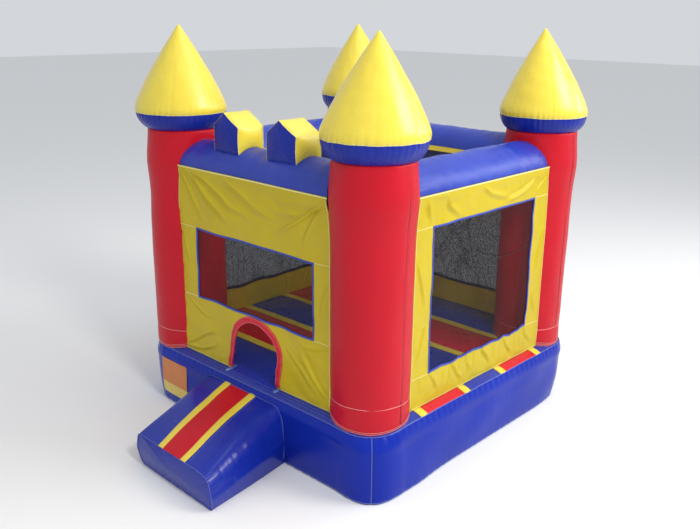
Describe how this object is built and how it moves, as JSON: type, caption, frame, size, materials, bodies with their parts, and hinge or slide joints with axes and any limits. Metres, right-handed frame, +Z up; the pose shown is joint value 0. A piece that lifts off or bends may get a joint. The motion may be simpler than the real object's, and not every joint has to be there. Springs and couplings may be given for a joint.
{
  "type": "inflatable bounce house",
  "caption": "Inflatable castle bounce house: air base with entrance step, corner towers with pointed caps, tie beams, curtain walls with netted windows and a netted roof.",
  "frame": {"origin": "centre of the air base's square footprint on the ground", "axes": "+Z up, the entrance and its step face -Y, the inflation sleeve leaves towards +Y, +X to the right seen from the front"},
  "size_m": [3.1659, 4.342, 3.556],
  "materials": {
    "vinyl_blue": "gloss",
    "vinyl_red": "satin",
    "vinyl_yellow": "gloss",
    "floor_vinyl_blue": "satin",
    "floor_vinyl_red": "satin",
    "floor_vinyl_yellow": "satin",
    "curtain_yellow": "satin",
    "binding_blue": "satin",
    "black_netting": "matte",
    "trim_red": "satin",
    "reinforcing_vinyl": "gloss",
    "baffle_fabric": "matte",
    "patch_orange": "satin",
    "patch_yellow": "satin",
    "black_webbing": "matte",
    "zip_metal": "satin",
    "ring_steel": "gloss"
  },
  "bodies": {
    "house": {"base_underside": "vinyl_blue", "base_wall_front": "vinyl_blue", "base_wall_right": "vinyl_blue", "base_wall_back": "vinyl_blue", "base_wall_left": "vinyl_blue", "floor_blue": "floor_vinyl_blue", "floor_red": "floor_vinyl_red", "floor_yellow": "floor_vinyl_yellow", "inner_baffles": "baffle_fabric", "tower_front_left": "vinyl_red", "tower_front_right": "vinyl_red", "tower_back_left": "vinyl_red", "tower_back_right": "vinyl_red", "collar_front_left": "vinyl_blue", "collar_front_right": "vinyl_blue", "collar_back_left": "vinyl_blue", "collar_back_right": "vinyl_blue", "cap_front_left": "vinyl_yellow", "cap_front_right": "vinyl_yellow", "cap_back_left": "vinyl_yellow", "cap_back_right": "vinyl_yellow", "beam_front": "vinyl_blue", "beam_right": "vinyl_blue", "beam_back": "vinyl_blue", "beam_left": "vinyl_blue", "wall_front": "curtain_yellow", "wall_right": "curtain_yellow", "wall_back": "curtain_yellow", "wall_left": "curtain_yellow", "binding_front": "binding_blue", "binding_right": "binding_blue", "binding_back": "binding_blue", "binding_left": "binding_blue", "net_front": "black_netting", "net_right": "black_netting", "net_back": "black_netting", "net_left": "black_netting", "roof_strip": "curtain_yellow", "roof_net": "black_netting", "block_covers": "vinyl_yellow", "block_faces": "vinyl_blue", "door_trim": "trim_red", "door_corner_straps": "reinforcing_vinyl", "step_body": "vinyl_blue", "step_stripe_red": "vinyl_red", "step_stripe_yellow": "vinyl_yellow", "patch_upper": "patch_orange", "patch_lower": "patch_yellow", "inflation_sleeve": "vinyl_blue", "sleeve_strap": "black_webbing", "zip_tape": "black_webbing", "anchor_patches": "reinforcing_vinyl"},
    "zip_slider": {"zip_slider": "zip_metal"},
    "zip_pull": {"zip_pull": "zip_metal"},
    "zip_flap": {"zip_flap": "vinyl_blue"},
    "ring_back_right": {"ring_back_right": "ring_steel"},
    "ring_back_left": {"ring_back_left": "ring_steel"},
    "ring_left_back": {"ring_left_back": "ring_steel"},
    "ring_left_front": {"ring_left_front": "ring_steel"}
  },
  "joints": [
    {"name": "zip_slide", "type": "slide", "parent": "house", "child": "zip_slider", "axis": [-1, 0, 0], "range_m": [0, 0.6]},
    {"name": "zip_pull_swing", "type": "hinge", "parent": "zip_slider", "child": "zip_pull", "pos_m": [-0.195, 1.5386, 0.33], "axis": [1, 0, 0], "range_deg": [0, 120]},
    {"name": "zip_flap_lift", "type": "hinge", "parent": "house", "child": "zip_flap", "pos_m": [-0.5, 1.5465, 0.372], "axis": [1, 0, 0], "range_deg": [0, 120]},
    {"name": "ring_back_right_swing", "type": "hinge", "parent": "house", "child": "ring_back_right", "pos_m": [1.1, 1.535, 0.175], "axis": [1, 0, 0], "range_deg": [0, 150]},
    {"name": "ring_back_left_swing", "type": "hinge", "parent": "house", "child": "ring_back_left", "pos_m": [-1.02, 1.535, 0.175], "axis": [1, 0, 0], "range_deg": [0, 150]},
    {"name": "ring_left_back_swing", "type": "hinge", "parent": "house", "child": "ring_left_back", "pos_m": [-1.535, 1.02, 0.175], "axis": [0, 1, 0], "range_deg": [0, 150]},
    {"name": "ring_left_front_swing", "type": "hinge", "parent": "house", "child": "ring_left_front", "pos_m": [-1.535, -1.02, 0.175], "axis": [0, 1, 0], "range_deg": [0, 150]}
  ]
}
